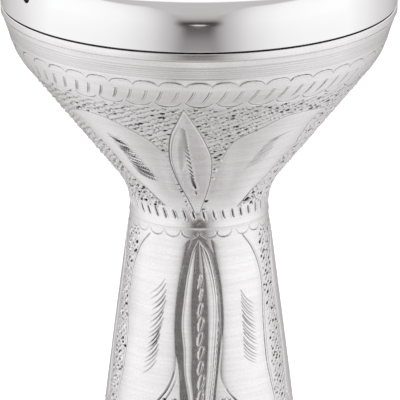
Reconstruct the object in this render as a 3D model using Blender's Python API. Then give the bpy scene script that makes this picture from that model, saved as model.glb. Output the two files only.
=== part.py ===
"""Darbuka: a goblet drum with a cast aluminium shell and a head clamped by a bolted chrome rim.

The frame is in metres with +Z up. The drum stands on its foot at Z = 0 and its axis is the Z
axis. The front of the engraved bowl faces -Y, with +X on its right. An azimuth is measured
from the front, positive towards +X. All the sizes below are in millimetres.
"""

import math

import bmesh
import bpy
from mathutils import Euler, Vector

MM = 0.001
SIDES = 48          # flat sides round the drum's large turned pieces
SMALL_SIDES = 16    # flat sides round bolts and washers
GAP = 0.3           # what touching pieces keep between them
OVERRUN = 5.0       # how far a cutter runs past what it cuts
BOSS_ROOT = 2.0     # how near a boss reaches to the far face of the wall it hangs from

# Driving sizes
HEIGHT = 440.0      # foot to the top of the rim
WALL = 4.0          # the casting's wall
RIM_HEIGHT = 35.0
RIM_RADIUS = 143.0
HEAD_RADIUS = 110.0     # outer radius of the collar that the head is drawn over
FOOT_RADIUS = 98.0

# The shell's outside. Each corner of its outline is (radius, height, fillet radius).
BOWL_TOP = (142.0, 397.0, 0.0)
BOWL_SHOULDER = (132.5, 368.5, 60.0)    # the steep top turns into the bowl's cone here
NECK = (48.0, 263.0, 46.0)              # the bowl's cone meets the tube's cone here
FLARE = (75.5, 46.0, 110.0)             # the tube's cone opens out to the foot here
FOOT_TOP = (93.5, 9.0, 0.0)
BODY_CORNERS = (BOWL_TOP, BOWL_SHOULDER, NECK, FLARE, FOOT_TOP)

LIP_RADIUS = 142.8
LIP_HEIGHT = 5.4        # height of the lip's upright face
LIP_EDGE = 0.7          # rounding of its two edges
LIP_GAP = 2.0           # open joint between the lip and the rim
FLANGE = 6.5            # thickness of the flange under the rim
FLANGE_SLOPE = 9.0      # how far the flange's lower face starts inside the bowl's wall
COLLAR_WALL = 6.0
FOOT_BEAD = 4.5         # radius of the foot's rounded edge
FOOT_FACE = 6.0         # width of the flat ring that the drum stands on

# The clamping rim
RIM_SHOULDER = 11.0     # how far the rounded outer shoulder reaches inwards
RIM_WALL = 19.6         # height of the upright wall under the shoulder
RIM_INNER_EDGE = 6.0    # rounding of the inner top edge
RIM_SKIRT = 4.0         # thickness of the outer wall
RIM_WEB = 5.5           # thickness of the top wall
RIM_INNER_WALL = 5.0
RIM_HOLLOW_FILLET = 4.0
RIM_CHAMFER = 0.8
RIM_RUNNING_GAP = 1.0   # between the rim's inner edge and the head's skirt

# The head
FILM = 0.5
HEAD_DROP = 12.0        # the bearing edge's depth below the rim's top
SKIRT = 7.5             # how far the film turns down over the collar
HOOP_WIDTH = 4.6
HOOP_HEIGHT = 6.3
HOOP_DROP = 3.7         # the hoop's top below the bearing edge
HOOP_CHAMFER = 0.8

# The tuning bolts: M6 socket-head screws, 50 mm long, with 1 mm of pitch
BOLT_AZIMUTHS = (-150, -90, -30, 30, 90, 150)
BOLT_CIRCLE = 125.0
SHANK_RADIUS = 2.7
SHANK_LENGTH = 50.0
BOLT_HEAD_RADIUS = 5.0
BOLT_HEAD = 6.0
BOLT_CHAMFER = 0.6
SHANK_POINT = 1.0       # the shank's bevelled end
SOCKET_FLATS = 5.0
SOCKET_DEPTH = 3.2
WASHER_RADIUS = 5.8
WASHER_HOLE = 3.2
WASHER = 1.0
COUNTERBORE_RADIUS = 6.4
COUNTERBORE = 8.2
RIM_HOLE_RADIUS = 3.4
RIM_BOSS_RADIUS = 9.0
RIM_BOSS = 14.0         # depth of the bosses under the rim's top
SHELL_BOSS_RADIUS = 6.5
SHELL_BOSS = 21.0       # depth of the threaded bosses under the flange's top face
THREAD_HOLE_RADIUS = 3.0

# The grub screw in the rim's outer wall
GRUB_AZIMUTH = -58.5
GRUB_ABOVE_EDGE = 20.5
GRUB_RADIUS = 4.0
GRUB_LENGTH = 8.0
GRUB_RECESS = 1.8
GRUB_FLATS = 4.0
GRUB_SOCKET_DEPTH = 4.0
GRUB_CHAMFER = 0.6
GRUB_HOLE_RADIUS = 4.4

# Heights worked out from the sizes above
RIM_BOTTOM = HEIGHT - RIM_HEIGHT
FLANGE_TOP = RIM_BOTTOM - LIP_GAP
BEARING_EDGE = HEIGHT - HEAD_DROP
HOOP_INNER = HEAD_RADIUS + GAP + FILM + GAP
RIM_INNER = HEAD_RADIUS + GAP + FILM + RIM_RUNNING_GAP
HOOP_TOP = BEARING_EDGE - HOOP_DROP


def arc(centre, radius, start_deg, end_deg, steps):
    """Points of an arc in the plane of (radius, height), both ends included."""
    points = []
    for i in range(steps + 1):
        angle = math.radians(start_deg + (end_deg - start_deg) * i / steps)
        points.append((centre[0] + radius * math.cos(angle), centre[1] + radius * math.sin(angle)))
    return points


def filleted(corners, steps):
    """Points along straight runs between the corners, with a tangent arc at each fillet."""
    points = [corners[0][:2]]
    for before, corner, after in zip(corners, corners[1:], corners[2:]):
        here = Vector(corner[:2])
        to_before = (Vector(before[:2]) - here).normalized()
        to_after = (Vector(after[:2]) - here).normalized()
        half = to_before.angle(to_after) / 2
        tangent = corner[2] / math.tan(half)
        centre = here + (to_before + to_after).normalized() * corner[2] / math.sin(half)
        first = here + to_before * tangent - centre
        last = here + to_after * tangent - centre
        turn = first.angle_signed(last)
        for i in range(steps + 1):
            angle = -turn * i / steps
            x = first.x * math.cos(angle) - first.y * math.sin(angle)
            y = first.x * math.sin(angle) + first.y * math.cos(angle)
            points.append((centre.x + x, centre.y + y))
    points.append(corners[-1][:2])
    return points


def inset(points, distance):
    """The outline moved inwards, towards the drum's axis, by a distance along its normals."""
    moved = []
    for i, point in enumerate(points):
        before = Vector(points[max(i - 1, 0)])
        after = Vector(points[min(i + 1, len(points) - 1)])
        along = (after - before).normalized()
        moved.append((point[0] + along.y * distance, point[1] - along.x * distance))
    return moved


def around(azimuth_deg, radius, height):
    """The place in metres at an azimuth from the front, a radius and a height."""
    angle = math.radians(azimuth_deg)
    return Vector((radius * math.sin(angle), -radius * math.cos(angle), height)) * MM


def principled(name, colour, metallic, roughness):
    material = bpy.data.materials.new(name)
    material.use_nodes = True
    shader = material.node_tree.nodes["Principled BSDF"]
    shader.inputs["Base Color"].default_value = (*colour, 1.0)
    shader.inputs["Metallic"].default_value = metallic
    shader.inputs["Roughness"].default_value = roughness
    return material


def add(name, mesh, material=None, parent=None, location=(0, 0, 0), rotation=(0, 0, 0)):
    """Put a mesh in the scene as a named object."""
    item = bpy.data.objects.new(name, mesh)
    bpy.context.scene.collection.objects.link(item)
    if material and not mesh.materials:
        mesh.materials.append(material)
    item.parent = parent
    item.location = location
    item.rotation_euler = rotation
    return item


def as_guide(item):
    """Mark an object as a cutter or guide, which isn't one of the drum's pieces."""
    item.hide_render = True
    item.display_type = "WIRE"
    return item


def outline_mesh(name, outline, closed):
    """Edges along an outline of (radius, height) in millimetres, on the +X side."""
    edges = [(i, i + 1) for i in range(len(outline) - 1)]
    if closed:
        edges.append((len(outline) - 1, 0))
    mesh = bpy.data.meshes.new(name)
    mesh.from_pydata([(r * MM, 0.0, z * MM) for r, z in outline], edges, [])
    return mesh


def turn(item, sides):
    """Turn an object's outline once round its own Z axis."""
    screw = item.modifiers.new("turned", "SCREW")
    screw.axis = "Z"
    screw.angle = 2 * math.pi
    screw.steps = sides
    screw.render_steps = sides
    screw.use_merge_vertices = True
    screw.merge_threshold = 0.00001
    screw.use_smooth_shade = True
    return item


def boolean(item, other, operation):
    cut = item.modifiers.new(other.name, "BOOLEAN")
    cut.operation = operation
    cut.solver = "EXACT"
    cut.object = other


def rods(name, places, radius, low, high, sides, parent):
    """A guide of upright rods at the given places, between two heights over the parent."""
    shape = bmesh.new()
    for place in places:
        made = bmesh.ops.create_cone(
            shape, cap_ends=True, segments=sides, radius1=radius * MM, radius2=radius * MM,
            depth=(high - low) * MM)
        middle = Vector((place.x, place.y, (low + high) / 2 * MM))
        bmesh.ops.translate(shape, verts=made["verts"], vec=middle)
    mesh = bpy.data.meshes.new(name)
    shape.to_mesh(mesh)
    shape.free()
    return as_guide(add(name, mesh, parent=parent))


def finished_mesh(item, name):
    """A plain mesh of an object with its modifiers done, for copies to share."""
    bpy.context.view_layer.update()
    seen = item.evaluated_get(bpy.context.evaluated_depsgraph_get())
    mesh = bpy.data.meshes.new_from_object(seen)
    mesh.name = name
    mesh.shade_smooth()
    mesh.set_sharp_from_angle(angle=math.radians(30.0))
    return mesh


def socketed(name, outline, flats, depth, top, material):
    """The mesh of a turned screw with a hexagonal socket sunk into its top."""
    blank = turn(add(name, outline_mesh(name, outline, closed=False), material), SMALL_SIDES)
    shape = bmesh.new()
    across_corners = flats / math.cos(math.radians(30.0))
    made = bmesh.ops.create_cone(
        shape, cap_ends=True, segments=6, radius1=across_corners / 2 * MM,
        radius2=across_corners / 2 * MM, depth=2 * depth * MM)
    bmesh.ops.translate(shape, verts=made["verts"], vec=Vector((0, 0, top * MM)))
    mesh = bpy.data.meshes.new(name + "_socket")
    shape.to_mesh(mesh)
    shape.free()
    key = as_guide(add(name + "_socket", mesh))
    boolean(blank, key, "DIFFERENCE")
    finished = finished_mesh(blank, name)
    bpy.data.objects.remove(blank)
    bpy.data.objects.remove(key)
    return finished


def shell_outline():
    """The casting's section: down its outside from the bearing edge, and up its inside."""
    edge = COLLAR_WALL / 2
    collar_inner = HEAD_RADIUS - COLLAR_WALL
    lip_middle = LIP_RADIUS - LIP_EDGE
    lip_bottom = FLANGE_TOP - LIP_HEIGHT
    body = filleted(BODY_CORNERS, 5)
    foot_middle = (FOOT_RADIUS - FOOT_BEAD, FOOT_BEAD)
    foot_inner = FOOT_RADIUS - FOOT_BEAD - FOOT_FACE
    outline = arc((collar_inner + edge, BEARING_EDGE - edge), edge, 90, 0, 3)
    outline += [(HEAD_RADIUS, FLANGE_TOP)]
    outline += arc((lip_middle, FLANGE_TOP - LIP_EDGE), LIP_EDGE, 90, 0, 2)
    outline += arc((lip_middle, lip_bottom + LIP_EDGE), LIP_EDGE, 0, -60, 2)
    outline += body
    outline += arc(foot_middle, FOOT_BEAD, 90, -90, 5)
    inner = inset(body, WALL)[::-1]
    outline += [(foot_inner, 0.0)] + inner[:-1]
    outline += [(inner[-2][0] - FLANGE_SLOPE, FLANGE_TOP - FLANGE),
                (collar_inner, FLANGE_TOP - FLANGE)]
    outline += arc((collar_inner + edge, BEARING_EDGE - edge), edge, 180, 90, 3)[:-1]
    return outline


def make_shell(material, parent):
    shell = add("shell", outline_mesh("shell", shell_outline(), closed=True), material, parent)
    turn(shell, SIDES)
    places = [around(azimuth, BOLT_CIRCLE, 0) for azimuth in BOLT_AZIMUTHS]
    bottom = FLANGE_TOP - SHELL_BOSS
    bosses = rods("shell_bosses", places, SHELL_BOSS_RADIUS, bottom, FLANGE_TOP - BOSS_ROOT,
                  SMALL_SIDES, shell)
    holes = rods("thread_holes", places, THREAD_HOLE_RADIUS, bottom - OVERRUN,
                 FLANGE_TOP + OVERRUN, SMALL_SIDES, shell)
    boolean(shell, bosses, "UNION")
    boolean(shell, holes, "DIFFERENCE")
    return shell


def rim_outline():
    """The rim's section over its own bottom edge: down its outside, and up its inside."""
    top = RIM_HEIGHT
    under = top - RIM_WEB
    skirt = RIM_RADIUS - RIM_SKIRT
    inner_wall = RIM_INNER + RIM_INNER_WALL
    foot = HOOP_TOP + GAP - RIM_BOTTOM
    outline = [(RIM_RADIUS - RIM_SHOULDER * (1.0 - across), RIM_WALL + (top - RIM_WALL) * up)
               for across, up in arc((0.0, 0.0), 1.0, 90, 0, 6)]
    outline += [(RIM_RADIUS, RIM_CHAMFER), (RIM_RADIUS - RIM_CHAMFER, 0.0), (skirt, 0.0)]
    outline += arc((skirt - RIM_HOLLOW_FILLET, under - RIM_HOLLOW_FILLET), RIM_HOLLOW_FILLET,
                   0, 90, 2)
    outline += [(inner_wall, under), (inner_wall, foot), (RIM_INNER, foot)]
    outline += arc((RIM_INNER + RIM_INNER_EDGE, top - RIM_INNER_EDGE), RIM_INNER_EDGE, 180, 90, 3)
    return outline


def make_rim(material, parent):
    rim = add("rim", outline_mesh("rim", rim_outline(), closed=True), material, parent,
              (0, 0, RIM_BOTTOM * MM))
    turn(rim, SIDES)
    places = [around(azimuth, BOLT_CIRCLE, 0) for azimuth in BOLT_AZIMUTHS]
    floor = RIM_HEIGHT - COUNTERBORE
    boss_foot = RIM_HEIGHT - RIM_BOSS
    bosses = rods("rim_bosses", places, RIM_BOSS_RADIUS, boss_foot, RIM_HEIGHT - BOSS_ROOT,
                  SMALL_SIDES, rim)
    counterbores = rods("counterbores", places, COUNTERBORE_RADIUS, floor,
                        RIM_HEIGHT + OVERRUN, SMALL_SIDES, rim)
    holes = rods("rim_holes", places, RIM_HOLE_RADIUS, boss_foot - OVERRUN, floor + OVERRUN,
                 SMALL_SIDES, rim)
    boolean(rim, bosses, "UNION")
    boolean(rim, counterbores, "DIFFERENCE")
    boolean(rim, holes, "DIFFERENCE")
    grub_hole = rods("grub_hole", [Vector((0, 0, 0))], GRUB_HOLE_RADIUS, -GRUB_LENGTH - OVERRUN,
                     OVERRUN, SMALL_SIDES, rim)
    grub_hole.location = around(GRUB_AZIMUTH, RIM_RADIUS, GRUB_ABOVE_EDGE)
    grub_hole.rotation_euler = Euler((math.radians(90), 0, math.radians(GRUB_AZIMUTH)))
    boolean(rim, grub_hole, "DIFFERENCE")
    return rim


def make_head(film_material, hoop_material, parent):
    """The film, turned down over the collar, and the hoop that holds its edge."""
    outer = HEAD_RADIUS + GAP + FILM
    low = BEARING_EDGE + GAP
    film = [(0.0, low + FILM), (outer - 1.5, low + FILM), (outer, low - 1.0), (outer, low - SKIRT),
            (outer - FILM, low - SKIRT), (outer - FILM, low - 1.0), (outer - 1.8, low), (0.0, low)]
    hoop_low = HOOP_TOP - HOOP_HEIGHT
    hoop_outer = HOOP_INNER + HOOP_WIDTH
    hoop = [(hoop_outer - HOOP_CHAMFER, HOOP_TOP), (hoop_outer, HOOP_TOP - HOOP_CHAMFER),
            (hoop_outer, hoop_low), (HOOP_INNER, hoop_low), (HOOP_INNER, HOOP_TOP)]
    turn(add("head_film", outline_mesh("head_film", film, closed=False), film_material, parent),
         SIDES)
    turn(add("flesh_hoop", outline_mesh("flesh_hoop", hoop, closed=True), hoop_material, parent),
         SIDES)


def make_bolts(bolt_material, washer_material, rim):
    """The six tuning bolts and their washers, each standing in its counterbore in the rim."""
    bolt = [(0.0, BOLT_HEAD), (BOLT_HEAD_RADIUS - BOLT_CHAMFER, BOLT_HEAD),
            (BOLT_HEAD_RADIUS, BOLT_HEAD - BOLT_CHAMFER), (BOLT_HEAD_RADIUS, 0.0),
            (SHANK_RADIUS, 0.0), (SHANK_RADIUS, SHANK_POINT - SHANK_LENGTH),
            (SHANK_RADIUS - SHANK_POINT, -SHANK_LENGTH), (0.0, -SHANK_LENGTH)]
    bolt_mesh = socketed("tuning_bolt", bolt, SOCKET_FLATS, SOCKET_DEPTH, BOLT_HEAD, bolt_material)
    washer = [(WASHER_RADIUS, WASHER), (WASHER_RADIUS, 0.0), (WASHER_HOLE, 0.0),
              (WASHER_HOLE, WASHER)]
    washer_mesh = outline_mesh("washer", washer, closed=True)
    floor = RIM_HEIGHT - COUNTERBORE
    for number, azimuth in enumerate(BOLT_AZIMUTHS, start=1):
        spin = (0, 0, math.radians(azimuth))
        add(f"tuning_bolt_{number}", bolt_mesh, None, rim,
            around(azimuth, BOLT_CIRCLE, floor + GAP + WASHER + GAP), spin)
        turn(add(f"washer_{number}", washer_mesh, washer_material, rim,
                 around(azimuth, BOLT_CIRCLE, floor + GAP), spin), SMALL_SIDES)


def make_grub_screw(material, rim):
    """The grub screw, lying along a radius of the rim with its socket facing out."""
    outline = [(0.0, 0.0), (GRUB_RADIUS - GRUB_CHAMFER, 0.0), (GRUB_RADIUS, -GRUB_CHAMFER),
               (GRUB_RADIUS, GRUB_CHAMFER - GRUB_LENGTH),
               (GRUB_RADIUS - GRUB_CHAMFER, -GRUB_LENGTH), (0.0, -GRUB_LENGTH)]
    mesh = socketed("grub_screw", outline, GRUB_FLATS, GRUB_SOCKET_DEPTH, 0.0, material)
    add("rim_grub_screw", mesh, None, rim,
        around(GRUB_AZIMUTH, RIM_RADIUS - GRUB_RECESS, GRUB_ABOVE_EDGE),
        (math.radians(90), 0, math.radians(GRUB_AZIMUTH)))


def main():
    for item in list(bpy.data.objects):
        bpy.data.objects.remove(item)

    aluminium = principled("cast_aluminium", (0.78, 0.78, 0.78), 1.0, 0.30)
    chrome = principled("chrome", (0.90, 0.90, 0.91), 1.0, 0.06)
    film = principled("head_film", (0.90, 0.90, 0.88), 0.0, 0.35)
    hoop = principled("hoop_aluminium", (0.72, 0.72, 0.73), 1.0, 0.40)
    steel = principled("bolt_steel", (0.70, 0.70, 0.72), 1.0, 0.18)
    washer = principled("washer_steel", (0.66, 0.66, 0.67), 1.0, 0.25)
    black = principled("black_steel", (0.03, 0.03, 0.03), 1.0, 0.35)

    axis = bpy.data.objects.new("drum_axis", None)
    bpy.context.scene.collection.objects.link(axis)
    make_shell(aluminium, axis)
    make_head(film, hoop, axis)
    rim = make_rim(chrome, axis)
    make_bolts(steel, washer, rim)
    make_grub_screw(black, rim)


main()
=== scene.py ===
"""The darbuka's looks: an engraved cast aluminium goblet drum with a polished clamping rim.

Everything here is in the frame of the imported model, in metres with +Z up and the front of the
bowl facing -Y. Sizes below are in millimetres. A place on the engraved wall is given by its
azimuth in degrees from the front, positive towards +X, and its drop, which is how far it lies
below the rim's lower edge.
"""

import math

import bmesh
import bpy
import numpy as np
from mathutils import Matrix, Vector


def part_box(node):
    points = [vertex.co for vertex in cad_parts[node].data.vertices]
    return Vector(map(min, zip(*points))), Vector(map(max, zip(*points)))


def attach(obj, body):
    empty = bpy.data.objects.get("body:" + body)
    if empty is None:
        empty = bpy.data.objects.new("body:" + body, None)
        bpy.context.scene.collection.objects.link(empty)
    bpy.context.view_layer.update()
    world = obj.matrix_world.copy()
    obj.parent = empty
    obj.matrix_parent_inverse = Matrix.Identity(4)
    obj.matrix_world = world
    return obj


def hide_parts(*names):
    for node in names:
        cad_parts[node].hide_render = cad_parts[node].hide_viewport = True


MM = 0.001
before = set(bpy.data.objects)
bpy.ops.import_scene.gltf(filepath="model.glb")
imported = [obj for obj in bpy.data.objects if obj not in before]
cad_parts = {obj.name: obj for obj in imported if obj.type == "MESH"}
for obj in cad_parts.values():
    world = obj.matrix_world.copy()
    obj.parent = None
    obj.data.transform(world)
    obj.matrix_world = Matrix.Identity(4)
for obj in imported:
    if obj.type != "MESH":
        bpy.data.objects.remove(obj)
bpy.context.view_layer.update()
hand = np.random.default_rng(11)    # the engraver's hand, which is never quite even

# ---------------------------------------------------------------- sizes in millimetres

# The casting. Its corners are (radius, height, fillet radius).
WALL = 4.0
BODY_CORNERS = ((142.0, 397.0, 0.0), (132.5, 368.5, 60.0), (48.0, 263.0, 46.0),
                (75.5, 46.0, 110.0), (93.5, 9.0, 0.0))
FOOT_RADIUS = 98.0
FOOT_BEAD = 4.5
FOOT_FACE = 6.0
LIP_RADIUS = 142.8
LIP_HEIGHT = 5.4
LIP_EDGE = 0.7
JOINT_DEPTH = 0.25                  # of the turned line between the lip and the wall
JOINT_HEIGHT = 0.3
CROWN_LIFT = 0.03                   # between the bowl's top edge and the crown that rests on it
CROWN_SEAT = 3.1                    # how wide it rests there
CROWN_SLOPE = 9.0                   # how far its underside slopes inwards under the lip
FLANGE = 6.5
HEAD_RADIUS = 110.0
COLLAR_WALL = 6.0
BOWL_GRID = (0.5, 1760)             # the mesh's row spacing, and its columns round the axis
TUBE_GRID = (0.6, 840)
INSIDE_STEP = 12                    # outer rows to each row of the plain inside

# The tuning bolts and washers, their bosses and holes, and the grub screw
SHANK_RADIUS = 2.7
SHANK_LENGTH = 50.0
THREAD_PITCH = 1.0
THREAD_DEPTH = 0.45
BOLT_HEAD_RADIUS = 5.0
BOLT_HEAD = 6.0
WASHER = (3.2, 5.8, 1.0)            # inner radius, outer radius, thickness
SHELL_BOSS_RADIUS = 6.5
SHELL_BOSS = 21.0
TAPPED_RADIUS = 3.0
RIM_BOSS_RADIUS = 9.0
RIM_BOSS = 14.0
COUNTERBORE_RADIUS = 6.4
COUNTERBORE = 8.2
HOLE_RADIUS = 3.4
OVERSHOOT = 5.0                     # how far a drill goes past the metal
SUNK = 2.0                          # how far a boss's top lies inside the metal it joins
GRUB_RADIUS = 4.0
GRUB_HOLE_RADIUS = 4.4
GRUB_LENGTH = 8.0
GRUB_RECESS = 1.8
GRUB_AZIMUTH = -58.5
GRUB_ABOVE_EDGE = 20.5

# Places taken from the frame
rim_low, rim_high = (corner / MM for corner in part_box("rim"))
film_low, film_high = (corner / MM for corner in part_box("head_film"))
hoop_low, hoop_high = (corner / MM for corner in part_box("flesh_hoop"))
RIM_BOTTOM = rim_low.z
RIM_TOP = rim_high.z
RIM_RADIUS = rim_high.x
FLANGE_TOP = RIM_BOTTOM - 2.0        # the gap that is left for tuning
BEARING_EDGE = film_high.z - 0.8    # the collar's top, just under the film
BOLTS = [name for name in sorted(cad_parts) if name.startswith("tuning_bolt_")]

# The rim's section, and the head
RIM_WALL = 16.4                     # height of the rim's wall under its rounded shoulder
RIM_LEAN = 4.0                      # the slightly bulging wall's slope at its ends, in degrees
RIM_LAP = 0.8                       # how far its edge hangs under the flat of the clamping face
RIM_SHOULDER = 11.0
RIM_WEB = 5.5
RIM_SKIRT = 4.0
RIM_FILLET = 4.0                    # between the web and the skirt, inside
RIM_EDGE = 0.6                      # the radius of its lower edge
RIM_HUB = 5.0                       # the width of the ring that presses on the hoop
RIM_INNER_EDGE = 6.0
FILM_GAP = 1.0
HOOP_GAP = 0.3
FILM = 0.5                          # the film's thickness
FILM_BEND = 1.6
FILM_MIDDLE = 60.0                  # the radius of a ring of points in the film
FILM_FLAT = 4.0                     # how far from its edge the film's flat ends

# ---------------------------------------------------------------- layout of the engraving

# A ring is given as its count, the drop of its tops and the drop of its feet. An outline or a
# line is given as (azimuth in the motif, drop).

# Each motif: the azimuth of its middle and its width, as a share of the front motif's 135 deg
MOTIFS = ((0.0, 1.0), (123.75, 0.8333), (-123.75, 0.8333))
MOTIF_HALF = 67.5

TURNED_LINES = (13.2, 15.1, 16.9, 18.4, 20.0, 21.6)
ARCHES = (45, 24.7, 28.2)
LEANING_STROKES = (74, 32.6, 41.6)
SMILES = (37, 42.4, 45.6)
GROUND_TOP = 47.2
GROUND_BOTTOM = 144.5
GROUND_PITCH = 5.2                  # between the rows of punch marks
GROUND_TURNS = 68                   # how many rows are crossed in one turn round the drum
GROUND_RISE = GROUND_TURNS * GROUND_PITCH / 360.0           # for each degree of azimuth
TICKS = (44, 145.6, 151.8)
SEAM = 158.4
NECK_RING = 0.7                     # how far the turned ring at the seam stands out
SCALLOPS = (24, 160.8, 165.6)

# The bowl's motif: a bud, and a petal on either side with an upper, a lower and a foot line
BUD_LEFT = ((-5.0, 48.5), (-8.0, 61.5), (-11.5, 75.0), (-14.0, 92.0), (-14.5, 106.0),
            (-12.5, 124.0), (-8.5, 135.5), (-4.0, 146.5))
BUD_RIGHT = ((-5.0, 48.5), (-1.5, 63.5), (2.5, 80.0), (6.0, 96.5), (7.0, 114.0), (5.5, 131.0),
             (1.0, 146.5))
BUD_VEIN = ((-5.0, 67.0), (-4.5, 86.0), (-3.0, 114.0), (-2.0, 123.0))
LAST_NICK = ((-2.3, 128.0), (-1.8, 130.2))
BUD_HOLLOW = ((-5.3, 61.0), (-8.0, 77.0), (-9.6, 92.0), (-9.5, 108.0), (-6.5, 100.0),
              (-4.2, 84.0))
PETAL_LEFT = (((-57.0, 66.0), (-48.5, 62.5), (-40.0, 62.5), (-33.0, 66.5), (-26.5, 73.0),
               (-21.5, 80.0), (-16.5, 90.5)),
              ((-57.0, 66.0), (-53.5, 75.5), (-50.5, 88.0), (-48.2, 101.0), (-47.5, 114.0),
               (-43.0, 125.0), (-36.0, 135.0), (-28.0, 142.5)))
PETAL_RIGHT = (((53.5, 62.5), (44.5, 60.5), (37.0, 60.3), (31.0, 62.7), (24.0, 70.0),
                (17.5, 76.0), (13.5, 83.5), (11.0, 97.0)),
               ((53.5, 62.5), (50.0, 72.0), (50.5, 86.0), (52.0, 94.0), (49.0, 107.0),
                (46.5, 122.0), (39.0, 136.0), (32.5, 144.0)))
PETAL_FEET = (((-28.0, 142.5), (-10.0, 147.0), (-15.0, 124.0), (-16.5, 90.5)),
              ((32.5, 144.0), (6.5, 147.0), (8.5, 120.0), (11.0, 97.0)))

# Key strokes of each fan of chisel strokes, each from one end to the other
PLUME_LEFT = (((-41.5, 79.0), (-37.0, 82.0)), ((-40.0, 83.5), (-34.5, 86.5)),
              ((-40.0, 90.5), (-33.0, 93.0)), ((-38.0, 96.0), (-31.5, 98.5)),
              ((-38.5, 102.0), (-29.0, 106.5)), ((-38.0, 106.5), (-27.5, 112.0)),
              ((-38.5, 113.0), (-27.5, 118.5)))
PLUME_RIGHT = (((24.0, 107.5), (34.0, 103.0)), ((27.0, 101.5), (35.5, 95.0)),
               ((28.0, 94.5), (35.5, 88.0)), ((30.0, 86.5), (36.5, 79.0)),
               ((31.5, 82.5), (41.0, 76.5)))
HATCH_LEFT = (((-26.0, 197.0), (-38.0, 209.5)), ((-25.0, 207.0), (-35.5, 219.0)),
              ((-25.0, 221.0), (-36.5, 234.5)), ((-28.0, 241.0), (-37.0, 253.5)),
              ((-29.0, 257.0), (-40.0, 268.5)))
HATCH_RIGHT = (((32.0, 206.5), (43.5, 219.0)), ((32.0, 216.0), (43.5, 228.0)),
               ((31.5, 245.0), (43.0, 255.5)), ((31.5, 254.0), (40.5, 262.0)))

# Lines down the tube's long leaf, from the left flank's outer edge to the right one's
FLANK_LEFT = ((-1.0, 165.0), (-9.5, 177.0), (-14.5, 195.0), (-16.5, 212.0), (-17.0, 230.0),
              (-16.0, 248.0), (-13.0, 265.0), (-12.0, 283.0), (-9.0, 310.0), (-1.0, 335.0))
EDGE_LEFT = ((-0.5, 168.0), (-5.0, 177.0), (-8.7, 195.0), (-10.6, 212.0), (-11.8, 229.0),
             (-10.0, 247.0), (-9.3, 265.0), (-6.5, 282.0), (-4.0, 310.0), (-0.5, 332.0))
CHANNEL_LEFT = ((-0.3, 168.0), (-2.0, 177.0), (-3.0, 195.0), (-4.3, 212.0), (-3.7, 230.0),
                (-3.0, 248.0), (-3.8, 266.0), (-2.6, 282.0), (-1.5, 310.0), (0.0, 332.0))
CHANNEL_RIGHT = ((0.3, 168.0), (1.7, 177.0), (3.8, 195.0), (5.1, 212.0), (5.6, 230.0),
                 (5.3, 248.0), (4.0, 266.0), (3.1, 282.0), (2.0, 310.0), (0.3, 332.0))
RIDGE_RIGHT = ((0.4, 168.0), (4.0, 177.0), (9.0, 195.0), (11.1, 212.0), (10.7, 229.0),
               (9.2, 247.0), (8.1, 265.0), (6.0, 282.0), (4.0, 310.0), (0.5, 332.0))
EDGE_RIGHT = ((0.7, 168.0), (7.6, 177.0), (12.0, 195.0), (13.8, 212.0), (13.5, 229.0),
              (12.0, 247.0), (10.2, 265.0), (8.2, 282.0), (6.0, 310.0), (1.0, 332.0))
FLANK_RIGHT = ((1.5, 165.0), (11.5, 177.0), (16.0, 195.0), (17.5, 212.0), (17.5, 228.0),
               (15.0, 246.0), (12.5, 264.0), (10.5, 282.0), (9.0, 310.0), (1.5, 335.0))
LEAF_LINES = (FLANK_LEFT, EDGE_LEFT, CHANNEL_LEFT, CHANNEL_RIGHT, RIDGE_RIGHT, EDGE_RIGHT,
              FLANK_RIGHT)
# The leaf's relief across those lines: a place counted in lines, and the level there in mm
LEAF_PROFILE = ((0.0, 0.0), (0.1, -0.08), (1.0, -1.1), (1.2, -0.95), (1.4, -0.77), (1.6, -0.66),
                (1.8, -0.62), (2.0, -0.66), (2.3, -0.66), (2.5, -0.6), (2.75, -0.42), (3.0, -0.16),
                (3.2, -0.13), (3.4, -0.17), (3.6, -0.28), (3.8, -0.42), (4.0, -0.58), (5.0, -0.6),
                (5.2, -0.44), (5.5, -0.23), (5.8, -0.06), (6.0, 0.0))
LEAF_FADE = 22.0                    # over which the leaf's relief grows from its tips
# The left and the right panel beside the leaf, each with an inner and an outer line
PANEL_INNER = (((-7.0, 166.5), (-11.5, 183.0), (-15.0, 204.0), (-17.0, 226.0), (-15.5, 250.0),
                (-16.0, 264.0), (-20.0, 276.0), (-27.0, 287.0), (-38.0, 300.0), (-50.0, 310.0)),
               ((9.5, 166.5), (14.0, 189.0), (16.2, 212.0), (16.0, 242.0), (14.0, 265.0),
                (17.5, 277.0), (24.0, 286.0), (34.0, 298.0), (48.0, 310.0)))
PANEL_OUTER = (((-44.0, 166.5), (-54.0, 178.0), (-61.0, 198.0), (-61.5, 220.0), (-58.0, 246.0),
                (-59.0, 272.0), (-61.5, 292.0), (-50.0, 310.0)),
               ((38.0, 166.5), (46.0, 176.5), (52.0, 190.0), (54.0, 206.0), (51.5, 234.0),
                (51.0, 262.0), (54.5, 286.0), (55.0, 298.0), (48.0, 310.0)))
# The leaf's strips of painted shade: the lines on either side, the width of their soft edge, and
# how deep their painted shade is
LEAF_PAINTED_SHADE = (((1, 0), 0.8, 0.13), ((5, 6), 1.2, 0.08), ((2, 3), 1.5, 0.07))
ROPE = (191.0, 10.6, 13)            # first drop, pitch and count of its lobes
TUBE_GROUND_TOP = SEAM + 7.0
TUBE_GROUND_BOTTOM = 337.0
TUBE_GROUND_SIDE = 57.0             # the azimuth in a motif where its punched column starts
COLUMN_TOP = 166.0
TUBE_GROUND_LOW = 284.0             # the drop where the ground spreads under the panels
LEAF_KEPT = (10.0, 336.0)           # half the azimuths and the last drop kept free for the leaf
FOOT_ARCHES = (36, 340.0, 344.0)
FOOT_STROKES = (52, 348.0, 356.0)
FOOT_SMILES = (36, 359.0, 364.0)

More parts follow.
